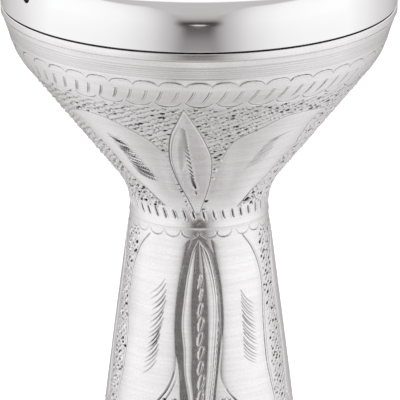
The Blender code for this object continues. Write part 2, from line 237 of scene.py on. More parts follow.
# How the hand tools cut, in mm unless a share
LINE_WIDTH = 0.55                   # of the turned lines, then their depth and their painted shade
LINE_DEPTH = 0.22
LINE_PAINTED_SHADE = 0.1
FAN_SHAKE = 0.35
PUNCH_SHAKE = (0.16, 0.75)          # along a row as a share of the spacing, and across it
PIT_SIZES = (1.2, 2.0)
PIT_DEPTHS = (0.15, 1.15)
DEEP_PITS = 0.13                    # the share of pits that are punched deeper and wider
DEEPER = 1.4
WIDER = 0.7
FURROW_DEPTH = 0.32
FURROW_PAINTED_SHADE = 0.08
FURROW_FADE = 1.2
FURROW_MARGIN = 0.6                 # kept free round each motif
V_FOOT = 1.15                       # above 1, a V has a flat foot
BURR_SHARE = 0.35                   # a burr's height as a share of its V's depth
BURR_PLACE = 0.95                   # its distance from the V and its spread, in V widths
BURR_SPREAD = 0.3
BURR_STOPS = 0.12                   # no burr stands where more than this is cut away
FAR_OUTSIDE = -9.0                  # the distance inside a swelled outline, where none is near


# ---------------------------------------------------------------- outlines and meshes

def arc(centre, radius, start_deg, end_deg, steps):
    """Points along an arc, with angles from the direction of growing radius."""
    angles = np.radians(np.linspace(start_deg, end_deg, steps + 1))
    return [(centre[0] + radius * math.cos(a), centre[1] + radius * math.sin(a)) for a in angles]


def filleted(corners, steps):
    """Points along straight runs between the corners, with a tangent arc at each fillet."""
    points = [corners[0][:2]]
    for before, corner, after in zip(corners, corners[1:], corners[2:]):
        here = Vector(corner[:2])
        to_before = (Vector(before[:2]) - here).normalized()
        to_after = (Vector(after[:2]) - here).normalized()
        half = to_before.angle(to_after) / 2
        tangent = corner[2] / math.tan(half)
        centre = here + (to_before + to_after).normalized() * corner[2] / math.sin(half)
        first = here + to_before * tangent - centre
        turn = first.angle_signed(here + to_after * tangent - centre)
        for i in range(steps + 1):
            angle = -turn * i / steps
            x = first.x * math.cos(angle) - first.y * math.sin(angle)
            y = first.x * math.sin(angle) + first.y * math.cos(angle)
            points.append((centre.x + x, centre.y + y))
    points.append(corners[-1][:2])
    return points


def resampled(points, spacing):
    """Points at an even spacing along a chain of points, as an array."""
    points = np.array(points, float)
    along = np.concatenate(([0.0], np.cumsum(np.hypot(*np.diff(points, axis=0).T))))
    places = np.linspace(0.0, along[-1], int(round(along[-1] / spacing)) + 1)
    return np.stack([np.interp(places, along, column) for column in points.T], axis=1)


def curve_through(points, steps=8):
    """A smooth Catmull-Rom curve through points, as a list of points."""
    chain = np.array(points, float)
    chain = np.vstack((2 * chain[0] - chain[1], chain, 2 * chain[-1] - chain[-2]))
    out = [tuple(chain[1])]
    for a, b, c, d in zip(chain, chain[1:], chain[2:], chain[3:]):
        for i in range(1, steps + 1):
            t = i / steps
            out.append(tuple(0.5 * (2 * b + (c - a) * t + (2 * a - 5 * b + 4 * c - d) * t ** 2
                                    + (3 * b - a - 3 * c + d) * t ** 3)))
    return out


def mesh_from_rows(name, rows, closed_rows=True, materials=()):
    """A mesh from a (rows, columns, 3) grid in metres that closes round its columns."""
    count_rows, count_columns = rows.shape[:2]
    index = np.arange(count_rows * count_columns).reshape(count_rows, count_columns)
    below = np.roll(index, -1, axis=0) if closed_rows else index[1:]
    above = index if closed_rows else index[:-1]
    quads = np.stack((above, below, np.roll(below, -1, axis=1), np.roll(above, -1, axis=1)),
                     axis=-1).reshape(-1, 4)
    mesh = bpy.data.meshes.new(name)
    mesh.vertices.add(rows.shape[0] * rows.shape[1])
    mesh.vertices.foreach_set("co", rows.astype(np.float32).ravel())
    mesh.loops.add(quads.size)
    mesh.loops.foreach_set("vertex_index", quads.astype(np.int32).ravel())
    mesh.polygons.add(len(quads))
    mesh.polygons.foreach_set("loop_start", np.arange(0, quads.size, 4, dtype=np.int32))
    mesh.update(calc_edges=True)
    for material in materials:
        mesh.materials.append(material)
    mesh.shade_smooth()
    return mesh


def turned_rows(outline, sides):
    """The grid of an outline of (radius, height) turned round the axis, in metres."""
    radius, height = np.array(outline, float).T
    angle = np.radians(np.arange(sides) * 360.0 / sides - 180.0)
    return np.stack((radius[:, None] * np.sin(angle), -radius[:, None] * np.cos(angle),
                     np.repeat(height[:, None], sides, axis=1)), axis=-1) * MM


def capped(mesh):
    """A mesh with its open rings filled, for pieces whose outline meets the axis."""
    shape = bmesh.new()
    shape.from_mesh(mesh)
    bmesh.ops.remove_doubles(shape, verts=shape.verts, dist=1e-6)
    bmesh.ops.holes_fill(shape, edges=[e for e in shape.edges if e.is_boundary])
    bmesh.ops.recalc_face_normals(shape, faces=shape.faces)
    shape.to_mesh(mesh)
    shape.free()
    mesh.shade_smooth()
    return mesh


def turned(name, outline, sides, material, closed=True):
    """A turned piece. An outline that isn't closed starts and ends on the axis."""
    mesh = mesh_from_rows(name, turned_rows(outline, sides), closed, (material,))
    return mesh if closed else capped(mesh)


def sharpened(mesh, degrees=28.0):
    """The mesh with its edges marked sharp where they turn by more than an angle."""
    mesh.set_sharp_from_angle(angle=math.radians(degrees))
    return mesh


def piece(name, mesh, body, nodes=(), slot=None, location=(0, 0, 0), rotation=(0, 0, 0)):
    """Put a mesh in the scene as a piece of the drum that rides on a body."""
    item = bpy.data.objects.new(name, mesh)
    bpy.context.scene.collection.objects.link(item)
    item.location = location
    item.rotation_euler = rotation
    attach(item, body)
    if nodes:
        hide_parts(*nodes)
    return item


def rod(radius, low, high, sides, place=(0.0, 0.0)):
    """A closed upright rod in millimetres, as a temporary object for cutting or joining."""
    shape = bmesh.new()
    made = bmesh.ops.create_cone(shape, cap_ends=True, segments=sides, radius1=radius * MM,
                                 radius2=radius * MM, depth=(high - low) * MM)
    bmesh.ops.translate(shape, verts=made["verts"],
                        vec=Vector((place[0] * MM, place[1] * MM, (low + high) / 2 * MM)))
    mesh = bpy.data.meshes.new("rod")
    shape.to_mesh(mesh)
    shape.free()
    item = bpy.data.objects.new("rod", mesh)
    bpy.context.scene.collection.objects.link(item)
    return item


def combined(mesh, changes):
    """The mesh after Boolean changes, each an operation and a temporary object."""
    item = bpy.data.objects.new("blank", mesh)
    bpy.context.scene.collection.objects.link(item)
    for operation, other in changes:
        step = item.modifiers.new(operation, "BOOLEAN")
        step.operation = operation
        step.solver = "EXACT"
        step.object = other
    bpy.context.view_layer.update()
    seen = item.evaluated_get(bpy.context.evaluated_depsgraph_get())
    result = bpy.data.meshes.new_from_object(seen)
    result.name = mesh.name
    for other in [item] + [other for _, other in changes]:
        bpy.data.objects.remove(other)
    return sharpened(result)


# ---------------------------------------------------------------- the engraved wall

def signed_distance(x, y, corners):
    """How far each point lies inside a polygon, negative outside, in the polygon's units."""
    nearest = np.full(x.shape, 1e9)
    inside = np.zeros(x.shape, bool)
    for (ax, ay), (bx, by) in zip(corners, np.roll(corners, -1, axis=0)):
        dx, dy = bx - ax, by - ay
        length2 = max(dx * dx + dy * dy, 1e-12)
        t = np.clip(((x - ax) * dx + (y - ay) * dy) / length2, 0.0, 1.0)
        nearest = np.minimum(nearest, np.hypot(x - ax - t * dx, y - ay - t * dy))
        if ay != by:
            crosses = (ay > y) != (by > y)
            inside ^= crosses & (x < ax + (y - ay) * dx / (by - ay))
    return np.where(inside, nearest, -nearest)


class Skin:
    """A turned wall as a grid of rows down its outline and columns round the axis.

    lift is its relief in mm, positive outwards. The cut layer is the depth in mm of what chisels
    took away and of the painted shade laid over hollows, turned lines, furrows and the leaf's
    strips. It sinks the wall, and the material darkens the colour by it as painted shade. burr is
    the metal they pushed up beside it, ground marks the punched background, and inside is how far
    a place lies within the nearest swelled outline in mm.
    """

    def __init__(self, outline, columns):
        self.radius, self.height = outline.T
        self.drop = RIM_BOTTOM - self.height
        steps = np.hypot(np.diff(self.radius), np.diff(self.height))
        self.along = np.concatenate(([0.0], np.cumsum(steps)))
        self.columns = columns
        self.azimuth = np.arange(columns) * 360.0 / columns - 180.0
        self.lift = np.zeros((len(self.radius), columns))
        self.cut = np.zeros_like(self.lift)
        self.burr = np.zeros_like(self.lift)
        self.ground = np.zeros_like(self.lift)
        self.inside = np.full_like(self.lift, FAR_OUTSIDE)

    def length_at(self, drop):
        """The length along the outline at a drop."""
        return np.interp(drop, self.drop, self.along)

    def radius_at(self, drop):
        """The wall's radius at a drop."""
        return np.interp(drop, self.drop, self.radius)

    def window(self, azimuths, lengths, margin):
        """Row and column numbers near some places, with the columns' unwrapped azimuths."""
        first = np.searchsorted(self.along, min(lengths) - margin)
        last = np.searchsorted(self.along, max(lengths) + margin)
        rows = np.arange(max(first, 0), min(last, len(self.along)))
        if not len(rows):
            return None
        spread = math.degrees(margin / self.radius[rows].min())
        pitch = 360.0 / self.columns
        low = math.floor((min(azimuths) - spread + 180.0) / pitch)
        high = math.ceil((max(azimuths) + spread + 180.0) / pitch)
        columns = np.arange(low, high + 1)
        return rows, columns % self.columns, columns * pitch - 180.0

    def stretches(self, points, reach):
        """Each straight stretch of a line, with the part of the wall within reach of it.

        Gives the stretch's number and, over that part of the wall, the share of the stretch
        passed, the distance from it in mm, and the part's index.
        """
        azimuth, drop = np.array(points, float).T
        along = self.length_at(drop)
        radius = self.radius_at(drop)
        for i in range(len(points) - 1):
            near = self.window(azimuth[i:i + 2], along[i:i + 2], reach)
            if near is None:
                continue
            rows, columns, there = near
            scale = math.radians((radius[i] + radius[i + 1]) / 2)
            x = (there - azimuth[i])[None, :] * scale
            y = (self.along[rows] - along[i])[:, None]
            dx, dy = (azimuth[i + 1] - azimuth[i]) * scale, along[i + 1] - along[i]
            t = np.clip((x * dx + y * dy) / max(dx * dx + dy * dy, 1e-9), 0.0, 1.0)
            yield i, t, np.hypot(x - t * dx, y - t * dy), np.ix_(rows, columns)

    def stroke(self, points, width, depth, ends=(0.15, 0.15)):
        """Cut a V along points, with its depth at either end as a share of the middle's."""
        share = np.linspace(0.0, 1.0, len(points))
        strength = np.interp(share, (0.0, 0.3, 0.7, 1.0), (ends[0], 1.0, 1.0, ends[1]))
        for i, t, distance, spot in self.stretches(points, 1.6 * width):
            level = depth * (strength[i] + t * (strength[i + 1] - strength[i]))
            made = level * np.clip(V_FOOT - 2 * distance / width, 0.0, 1.0)
            beside = (distance / width - BURR_PLACE) / BURR_SPREAD
            lip = BURR_SHARE * level * np.exp(-beside ** 2)
            self.cut[spot] = np.maximum(self.cut[spot], made)
            self.burr[spot] = np.maximum(self.burr[spot], lip)

    def bead(self, points, width, height):
        """Leave a thin raised line along points."""
        for _, _, distance, spot in self.stretches(points, width):
            made = height * np.clip(1.3 - 2 * distance / width, 0.0, 1.0)
            self.burr[spot] = np.maximum(self.burr[spot], made)

    def swell(self, outline, amount, edge, hollow=0.0, hollow_edge=1.0, painted_shade=0.0):
        """Raise the inside of a closed outline to a pillow whose edge is some mm wide.

        hollow is the depth of a moat round it. The last argument is painted shade: a depth in mm
        that goes into the cut layer, darkening the colour inside the outline and sinking it as far.
        """
        azimuth, drop = np.array(outline, float).T
        middle = (azimuth.min() + azimuth.max()) / 2
        along = self.length_at(drop)
        rows, columns, there = self.window(azimuth, along, hollow_edge * 3 + 1)
        x = np.radians(there - middle)[None, :] * self.radius[rows][:, None]
        y = np.repeat(self.along[rows][:, None], len(columns), axis=1)
        corners = np.stack((np.radians(azimuth - middle) * self.radius_at(drop), along), axis=1)
        inside = signed_distance(x, y, corners)
        pillow = 1.0 - np.exp(-np.clip(inside, 0.0, None) / edge)
        moat = hollow * np.exp(-(inside / hollow_edge) ** 2)
        spot = np.ix_(rows, columns)
        self.lift[spot] += amount * pillow - moat
        # painted shade: darkens the colour inside the outline through the cut layer
        self.cut[spot] = np.maximum(self.cut[spot], painted_shade * pillow)
        self.inside[spot] = np.maximum(self.inside[spot], inside)

    def clear(self, places, margin):
        """Which places of (azimuth, drop) keep a margin to what was swelled."""
        row = np.searchsorted(self.along, self.length_at(places[:, 1])) - 1
        column = np.round((places[:, 0] + 180.0) * self.columns / 360.0).astype(int)
        return self.inside[row, column % self.columns] < -margin

    def loft(self, lines, profile, fade):
        """Add relief that runs along lines down the wall and fades towards their ends.

        profile lists places and levels across the lines. A place of 1.5 lies halfway between
        the second and the third line.
        """
        place, level = np.array(profile).T
        lines = [np.array(line).T for line in lines]
        top = min(drop[0] for _, drop in lines)
        bottom = max(drop[-1] for _, drop in lines)
        for row in np.flatnonzero((self.drop > top) & (self.drop < bottom)):
            share = min(self.drop[row] - top, bottom - self.drop[row]) / fade
            across = [np.interp(self.drop[row], drop, azimuth) for azimuth, drop in lines]
            across = np.interp(place, np.arange(len(lines)), across)
            across = np.maximum.accumulate(across + np.arange(len(place)) * 1e-3)
            turn = (self.azimuth - across[0] + 90.0) % 360.0 + across[0] - 90.0
            self.lift[row] += np.interp(turn, across, level * min(share, 1.0), 0.0, 0.0)

    def dots(self, places, size, depth, burr):
        """Punch slanted oval pits at places of (azimuth, drop), each with a burr to its right."""
        azimuth, drop = places.T
        along = self.length_at(drop)
        row = np.searchsorted(self.along, along)
        pitch = 360.0 / self.columns
        column = np.round((azimuth + 180.0) / pitch).astype(int)
        spacing = self.along[1]
        reach = 1.6 * size.max()
        reach_rows = int(np.ceil(reach / spacing))
        reach_columns = int(np.ceil(reach / math.radians(pitch) / self.radius.min()))
        for i in range(-reach_rows, reach_rows + 1):
            rows = np.clip(row + i, 0, len(self.along) - 1)
            y = self.along[rows] - along
            for j in range(-reach_columns, reach_columns + 1):
                x = np.radians((column + j) * pitch - 180.0 - azimuth) * self.radius[rows]
                columns = (column + j) % self.columns
                from_pit = np.hypot(0.8 * x - 0.25 * y, 1.35 * y + 0.45 * x)
                from_burr = np.hypot(x - 0.75 * size, y - 0.35 * size)
                np.maximum.at(self.cut, (rows, columns),
                              depth * np.clip(1.2 - 2 * from_pit / size, 0.0, 1.0))
                np.maximum.at(self.burr, (rows, columns),
                              burr * np.clip(1.2 - 2 * from_burr / size, 0.0, 1.0))
                np.maximum.at(self.ground, (rows, columns),
                              np.exp(-(np.hypot(x, y) / size) ** 2))

    def rows_of_points(self, bump):
        """The wall's grid of points in metres, with its relief."""
        slope_r = np.gradient(self.radius, self.along)
        slope_z = np.gradient(self.height, self.along)
        free = np.clip(1.0 - self.cut / BURR_STOPS, 0.0, 1.0)
        out = self.lift - self.cut + self.burr * free + bump
        radius = self.radius[:, None] - slope_z[:, None] * out
        height = self.height[:, None] + slope_r[:, None] * out
        angle = np.radians(self.azimuth)
        return np.stack((radius * np.sin(angle), -radius * np.cos(angle), height), axis=-1) * MM


def ring(skin, row, shape, half_width, width, depth, ends=(0.15, 0.15), shake=0.0):
    """Repeat one stroke round the whole drum, shaken a little in place, tilt and depth.

    row gives the count and the top and bottom drops, shape the stroke's points as shares of
    half_width, in degrees, and of the row's height.
    """
    count, top, bottom = row
    for i in range(count):
        centre = (i + 0.5) * 360.0 / count - 180.0 + hand.normal(0.0, shake)
        tilt = hand.normal(0.0, 0.25)
        strong = depth * hand.uniform(0.75, 1.2)
        points = [(centre + half_width * u, top + (bottom - top) * v + tilt * u)
                  for u, v in shape]
        skin.stroke(points, width, strong, ends)


def placed(points, motif):
    """A motif's points on the drum."""
    centre, scale = motif
    return [(centre + scale * azimuth, drop) for azimuth, drop in points]


def bowed(steps, up):
    """A shallow bow of points across -1 to 1, convex up or down, as shares of its height."""
    points = []
    for u in np.linspace(-1.0, 1.0, steps):
        level = math.sqrt(max(1.0 - u * u, 0.0))
        points.append((u, 1.0 - level if up else level))
    return points


def fan(skin, motif, keys, count, bow, width, depth, ends=(0.15, 0.3)):
    """A fan of bowed strokes that runs through some key strokes, strongest in its middle.

    bow is how far each stroke's middle leaves the straight line, towards the corner straight
    below its first end. A narrower motif has shallower strokes.
    """
    depth = depth * motif[1] ** 3
    keys = np.array(keys, float).reshape(len(keys), 4)
    share = np.concatenate(([0.0], np.cumsum(np.hypot(*np.diff(keys[:, :2], axis=0).T))))
    share /= share[-1]
    for t in np.linspace(0.0, 1.0, count):
        stroke = [np.interp(t, share, column) for column in keys.T]
        stroke = np.array(stroke) + hand.normal(0.0, FAN_SHAKE, 4)
        first, last = stroke[:2], stroke[2:]
        corner = np.array((first[0], last[1]))
        pull = (first + last) / 2 * (1.0 - bow) + corner * bow
        points = [tuple((1 - u) ** 2 * first + 2 * u * (1 - u) * pull + u * u * last)
                  for u in np.linspace(0.0, 1.0, 8)]
        strong = depth * (0.7 + 0.4 * math.sin(math.pi * t)) * hand.uniform(0.75, 1.15)
        skin.stroke(placed(points, motif), width, strong, ends)


def punched_places(skin, top, bottom, along_row, allowed):
    """Places of a hand-punched ground in rows that rise round the drum, as (azimuth, drop)."""
    low, high = skin.length_at(top), skin.length_at(bottom)
    azimuth = np.linspace(-180.0, 180.0, 721)
    places = []
    for start in np.arange(low - 180.0 * GROUND_RISE, high + 180.0 * GROUND_RISE, GROUND_PITCH):
        along = start - GROUND_RISE * azimuth
        within = (along > low) & (along < high)
        if within.sum() < 2:
            continue
        turn, along = azimuth[within], along[within]
        drop = np.interp(along, skin.along, skin.drop)
        steps = np.hypot(np.radians(np.diff(turn)) * skin.radius_at(drop[1:]), np.diff(along))
        travelled = np.concatenate(([0.0], np.cumsum(steps)))
        marks = np.arange(hand.uniform(0.0, along_row), travelled[-1], along_row)
        marks = marks + hand.normal(0.0, PUNCH_SHAKE[0] * along_row, len(marks))
        drops = np.interp(marks, travelled, drop) + hand.normal(0.0, PUNCH_SHAKE[1], len(marks))
        places.append(np.stack((np.interp(marks, travelled, turn), drops), axis=1))
    places = np.vstack(places)
    places = places[(places[:, 1] > top) & (places[:, 1] < bottom)]
    return places[allowed(places)]


def furrows(skin, top, bottom):
    """Shallow furrows along the punched ground's rows, which wander a little, with painted shade in
    them.
    """
    phase = (skin.along[:, None] + GROUND_RISE * skin.azimuth - skin.length_at(top)) / GROUND_PITCH
    shake = 0.12 * np.sin(skin.azimuth * 0.71) + 0.1 * np.sin(skin.along[:, None] * 0.37)
    wave = 0.5 + 0.5 * np.cos(2 * math.pi * (phase + shake))
    free = np.clip((-FURROW_MARGIN - skin.inside) / FURROW_FADE, 0.0, 1.0)
    from_border = np.minimum(skin.drop - top, bottom - skin.drop) / FURROW_FADE
    free *= np.clip(from_border, 0.0, 1.0)[:, None]
    skin.lift -= FURROW_DEPTH * wave * free
    # painted shade in the furrows, darkening their colour
    skin.cut = np.maximum(skin.cut, FURROW_PAINTED_SHADE * wave * free)


def punch(skin, places):
    """Punch the ground's pits, with some larger and deeper ones among them."""
    size = hand.uniform(*PIT_SIZES, len(places))
    depth = hand.uniform(*PIT_DEPTHS, len(places))
    deep = hand.random(len(places)) < DEEP_PITS
    depth[deep] += DEEPER
    size[deep] += WIDER
    skin.dots(places, size, depth, burr=1.2 * hand.random(len(places)) ** 2)


def lathe_lines(skin, amount):
    """Faint turned lines down the outline, as one height for each row."""
    lines = hand.normal(0.0, 1.0, len(skin.along))
    smooth = np.convolve(lines, (0.25, 0.5, 0.25), mode="same")
    return (amount * smooth)[:, None]


def engrave_borders(skin):
    """The turned lines and the rings of chisel marks above and below the bowl's motifs."""
    rise = np.clip((skin.drop - TICKS[2]) / (SEAM - TICKS[2]), 0.0, 1.0)
    skin.lift += NECK_RING * rise[:, None]
    for drop in TURNED_LINES:
        near = np.exp(-((skin.drop - drop) / LINE_WIDTH) ** 2)
        skin.lift -= LINE_DEPTH * near[:, None]
        # painted shade along each turned line, darkening its colour
        skin.cut = np.maximum(skin.cut, LINE_PAINTED_SHADE * near[:, None])
    ring(skin, ARCHES, bowed(9, up=True), half_width=3.9, width=0.95, depth=0.62,
         ends=(0.6, 0.2), shake=0.15)
    count, top, bottom = LEANING_STROKES
    for i in range(count):
        centre = (i + 0.5) * 360.0 / count - 180.0 + hand.normal(0.0, 0.12)
        lean = 1.05 + 0.4 * math.sin(math.radians(centre + 15.0))
        for offset, depth in ((0.0, 0.6), (0.66, 0.36)):
            points = [(centre + offset + lean * u - 0.25 * u * u,
                       (top + bottom) / 2 - (bottom - top) / 2 * u)
                      for u in np.linspace(1.0, -1.0, 5)]
            skin.stroke(points, 0.7, depth * hand.uniform(0.75, 1.15), ends=(0.8, 0.4))
    ring(skin, SMILES, bowed(9, up=False), half_width=4.2, width=1.1, depth=0.7,
         ends=(0.4, 0.4), shake=0.25)
    ring(skin, TICKS, ((-1.0, 0.0), (-0.4, 0.3), (0.3, 0.7), (1.0, 1.0)), half_width=1.1,
         width=1.4, depth=0.8, ends=(0.5, 0.5), shake=0.25)


def engrave_bud(skin, motif):
    """A long bud with a double left edge, a hollow with painted shade in its left half and a row of
    nicks.
    """
    left = placed(curve_through(BUD_LEFT), motif)
    right = placed(curve_through(BUD_RIGHT), motif)
    skin.swell(left + right[::-1], amount=0.7, edge=5.0, hollow=0.25, hollow_edge=1.2)
    skin.stroke(left, width=1.2, depth=0.5, ends=(0.8, 0.8))
    skin.stroke([(a + 1.3 * motif[1], d + 0.6) for a, d in left[8:-10]], width=1.0, depth=0.3)
    skin.stroke(right, width=1.2, depth=0.36, ends=(0.8, 0.8))
    # The left hollow is sunk, and painted shade darkens its colour further
    skin.swell(placed(curve_through(BUD_HOLLOW), motif), amount=-0.45, edge=1.5, painted_shade=0.12)
    vein = curve_through(BUD_VEIN, 7)
    for i, (azimuth, drop) in enumerate(vein):
        nick = ((azimuth - 1.9, drop - 1.8), (azimuth - 0.2, drop + 1.6))
        skin.stroke(placed(nick, motif), width=1.6, depth=0.5 + 0.5 * i / len(vein),
                    ends=(0.5, 1.0))
    skin.stroke(placed(LAST_NICK, motif), width=1.7, depth=0.6, ends=(1.0, 1.0))


def engrave_bowl(skin):
    """The bowl: borders and three motifs of a bud and two petals on a punched ground."""
    engrave_borders(skin)
    for motif in MOTIFS:
        engrave_bud(skin, motif)
        for (upper, lower), foot in zip((PETAL_LEFT, PETAL_RIGHT), PETAL_FEET):
            upper = placed(curve_through(upper), motif)
            lower = placed(curve_through(lower), motif)
            petal = upper[::-1] + lower[1:] + placed(foot[1:-1], motif)
            last_quarter = lower[len(lower) * 3 // 4:]
            skin.swell(petal, amount=0.8, edge=6.0)
            skin.stroke(upper, width=1.1, depth=0.42, ends=(0.8, 0.5))
            skin.stroke(lower, width=1.2, depth=0.55, ends=(0.5, 0.7))
            skin.stroke([(a, d + 1.7) for a, d in last_quarter], width=1.1, depth=0.45)
        fan(skin, motif, PLUME_LEFT, count=27, bow=0.2, width=1.3, depth=1.7, ends=(0.12, 0.7))
        fan(skin, motif, PLUME_RIGHT, count=14, bow=0.15, width=0.85, depth=0.55,
            ends=(0.3, 0.15))
    furrows(skin, GROUND_TOP, GROUND_BOTTOM)
    punch(skin, punched_places(skin, GROUND_TOP, GROUND_BOTTOM, 2.0,
                               lambda places: skin.clear(places, 0.9)))
    return lathe_lines(skin, 0.025)


def engrave_rope(skin, motif):
    """A rope of leaning drops along the tube leaf's channel, each with its tail to the left."""
    start, pitch, count = ROPE
    for i in range(count):
        length = pitch * hand.uniform(1.05, 1.25)
        full_size = i > 1
        wide = (1.5 + 0.9 * full_size) * hand.uniform(0.85, 1.1)
        centre = 0.5 + 0.5 * (i % 2)
        lobe = []
        for angle in np.linspace(0.0, 2 * math.pi, 15)[:-1]:
            down = (1.0 - math.cos(angle)) / 2
            lobe.append((centre + 1.0 - 2.0 * down + wide * math.sin(angle) * (1.0 - 0.5 * down),
                         start + pitch * i + length * down))
        lobe = placed(lobe, motif)
        skin.swell(lobe, amount=0.45, edge=1.4)
        skin.stroke(lobe + lobe[:1], width=0.8, depth=0.26, ends=(0.6, 0.6))


def engrave_leaf(skin, motif):
    """The tube's long leaf, sunk between its flanks, with strips of painted shade and a rope down
    its flat middle.
    """
    lines = [placed(curve_through(line), motif) for line in LEAF_LINES]
    skin.loft(lines, LEAF_PROFILE, LEAF_FADE)
    # painted shade: strips beside the flanks' edges and down the channel, darkened in colour
    for (first, second), edge, painted_shade in LEAF_PAINTED_SHADE:
        skin.swell(lines[first] + lines[second][::-1], amount=0.0, edge=edge, painted_shade=painted_shade)
    skin.bead(lines[1], width=0.9, height=0.16)
    skin.bead(lines[4], width=0.9, height=0.14)
    skin.stroke(lines[5], width=1.0, depth=0.3, ends=(0.8, 0.8))
    engrave_rope(skin, motif)


def engrave_panels(skin, motif):
    """The two bright panels beside the tube's leaf, each with a double outer line."""
    for outer, inner, outward in zip(PANEL_OUTER, PANEL_INNER, (-motif[1], motif[1])):
        outer = placed(curve_through(outer), motif)
        inner = placed(curve_through(inner), motif)
        skin.swell(outer + inner[::-1][1:], amount=0.5, edge=2.5)
        skin.stroke(outer, width=1.15, depth=0.5, ends=(0.9, 0.3))
        skin.stroke([(a + outward * 2.2, d + 0.6) for a, d in outer], width=1.0, depth=0.24)
        skin.stroke(inner[40:], width=1.3, depth=0.7, ends=(0.2, 0.5))
        skin.stroke([(a - outward * 1.8, d + 3.0) for a, d in inner[42:]], width=1.1, depth=0.5)


def tube_ground(skin, places):
    """Which places of the tube are punched: columns between the motifs, and below the panels."""
    around = np.abs((places[:, 0] + 180.0) % 360.0 - 180.0)
    from_middle = np.abs(around - MOTIFS[1][0]) / MOTIFS[1][1]
    turn = np.where(around < MOTIF_HALF, around, from_middle)
    column = (turn > TUBE_GROUND_SIDE) & (places[:, 1] > COLUMN_TOP)
    low = places[:, 1] > TUBE_GROUND_LOW
    leaf = (turn < LEAF_KEPT[0]) & (places[:, 1] < LEAF_KEPT[1])
    return (column | low) & ~leaf & skin.clear(places, 2.0)


def engrave_tube(skin):
    """The tube: scallops under the neck, three motifs of a leaf and panels, and foot rings."""
    skin.lift += NECK_RING * np.exp(-(skin.drop - SEAM) / 1.6)[:, None]
    ring(skin, SCALLOPS, bowed(11, up=False), half_width=7.2, width=1.1, depth=0.42,
         ends=(0.25, 0.25), shake=0.9)
    for motif in MOTIFS:
        engrave_leaf(skin, motif)
        engrave_panels(skin, motif)
        fan(skin, motif, HATCH_LEFT, count=16, bow=0.3, width=0.95, depth=0.6, ends=(0.5, 0.3))
        fan(skin, motif, HATCH_RIGHT, count=18, bow=0.3, width=0.95, depth=0.45, ends=(0.9, 0.1))
    punch(skin, punched_places(skin, TUBE_GROUND_TOP, TUBE_GROUND_BOTTOM, 2.2,
                               lambda places: tube_ground(skin, places)))
    ring(skin, FOOT_ARCHES, bowed(9, up=True), half_width=4.9, width=1.3, depth=0.4)
    ring(skin, FOOT_STROKES, ((1.0, 0.0), (0.2, 0.4), (-1.0, 1.0)), half_width=1.6, width=1.35,
         depth=0.45, ends=(0.6, 0.2))
    ring(skin, FOOT_SMILES, bowed(9, up=False), half_width=4.9, width=1.3, depth=0.36)
    return lathe_lines(skin, 0.03)


def skin_mesh(name, skin, bump, inside, materials):
    """A closed mesh of the engraved wall, with a plain inside of (radius, height) rows."""
    outer = skin.rows_of_points(bump)
    inner = turned_rows(inside, skin.columns)
    mesh = mesh_from_rows(name, np.vstack((outer, inner)), True, materials)
    extra = np.zeros((len(inside), skin.columns))
    # The cut layer carries the painted shade that the material darkens the colour by
    for label, values in (("cut", np.vstack((skin.cut, extra))),
                          ("ground", np.vstack((skin.ground, extra)))):
        layer = mesh.attributes.new(label, "FLOAT", "POINT")
        layer.data.foreach_set("value", values.astype(np.float32).ravel())
    index = np.zeros(len(mesh.polygons), np.int32)
    index[(len(outer) - 1) * skin.columns:] = 1
    mesh.polygons.foreach_set("material_index", index)
    return sharpened(mesh, 50.0)


# ---------------------------------------------------------------- materials

def shader_of(name, colour, metallic, roughness):
    """A new material with its node tree and its shader."""
    material = bpy.data.materials.new(name)
    material.use_nodes = True
    shader = material.node_tree.nodes["Principled BSDF"]
    shader.inputs["Base Color"].default_value = (*colour, 1.0)
    shader.inputs["Metallic"].default_value = metallic
    shader.inputs["Roughness"].default_value = roughness
    return material, material.node_tree, shader


def node(tree, kind, **values):
    """A shader node with its settings, and its unlinked inputs given by name."""
    made = tree.nodes.new(kind)
    for key, value in values.items():
        if key in made.inputs:
            made.inputs[key].default_value = value
        else:
            setattr(made, key, value)
    return made


def stretched_noise(tree, scale, detail, stretch=(1.0, 1.0, 1.0)):
    """Noise in object space whose scale is stretched by a vector."""
    place = node(tree, "ShaderNodeTexCoord")
    mapping = node(tree, "ShaderNodeMapping")
    mapping.inputs["Scale"].default_value = stretch
    noise = node(tree, "ShaderNodeTexNoise", Scale=scale, Detail=detail)
    tree.links.new(place.outputs["Object"], mapping.inputs["Vector"])
    tree.links.new(mapping.outputs["Vector"], noise.inputs["Vector"])
    return noise.outputs["Fac"]


def ramp(tree, value, stops):
    """A colour ramp over grey levels, with stops of (place, level)."""
    made = node(tree, "ShaderNodeValToRGB")
    elements = made.color_ramp.elements
    while len(elements) > 1:
        elements.remove(elements[-1])
    elements[0].position, level = stops[0]
    elements[0].color = (level, level, level, 1.0)
    for place, level in stops[1:]:
        elements.new(place).color = (level, level, level, 1.0)
    tree.links.new(value, made.inputs["Fac"])
    return made.outputs["Color"]


def math_node(tree, operation, *values, clamp=False):
    """The result of arithmetic on values, each a number or a socket."""
    made = node(tree, "ShaderNodeMath", operation=operation, use_clamp=clamp)
    for socket, value in zip(made.inputs, values):
        if isinstance(value, (int, float)):
            socket.default_value = value
        else:
            tree.links.new(value, socket)
    return made.outputs["Value"]


def fade_in(tree, value, start, width):
    """0 up to a start and 1 beyond it by a width, or the other way round if that is negative."""
    past = math_node(tree, "SUBTRACT", value, start)
    return math_node(tree, "DIVIDE", past, width, clamp=True)


def mixed(tree, share, first, second):
    """A colour mixed from two, each a colour or a socket."""
    made = node(tree, "ShaderNodeMix", data_type="RGBA")
    tree.links.new(share, made.inputs["Factor"])
    for socket, value in ((made.inputs[6], first), (made.inputs[7], second)):
        if isinstance(value, tuple):
            socket.default_value = (*value, 1.0)
        else:
            tree.links.new(value, socket)
    return made.outputs[2]


def bumped(tree, shader, height, strength, distance_mm):
    """Bump the shader's surface by a height."""
    bump = node(tree, "ShaderNodeBump", Strength=strength, Distance=distance_mm * MM)
    tree.links.new(height, bump.inputs["Height"])
    tree.links.new(bump.outputs["Normal"], shader.inputs["Normal"])


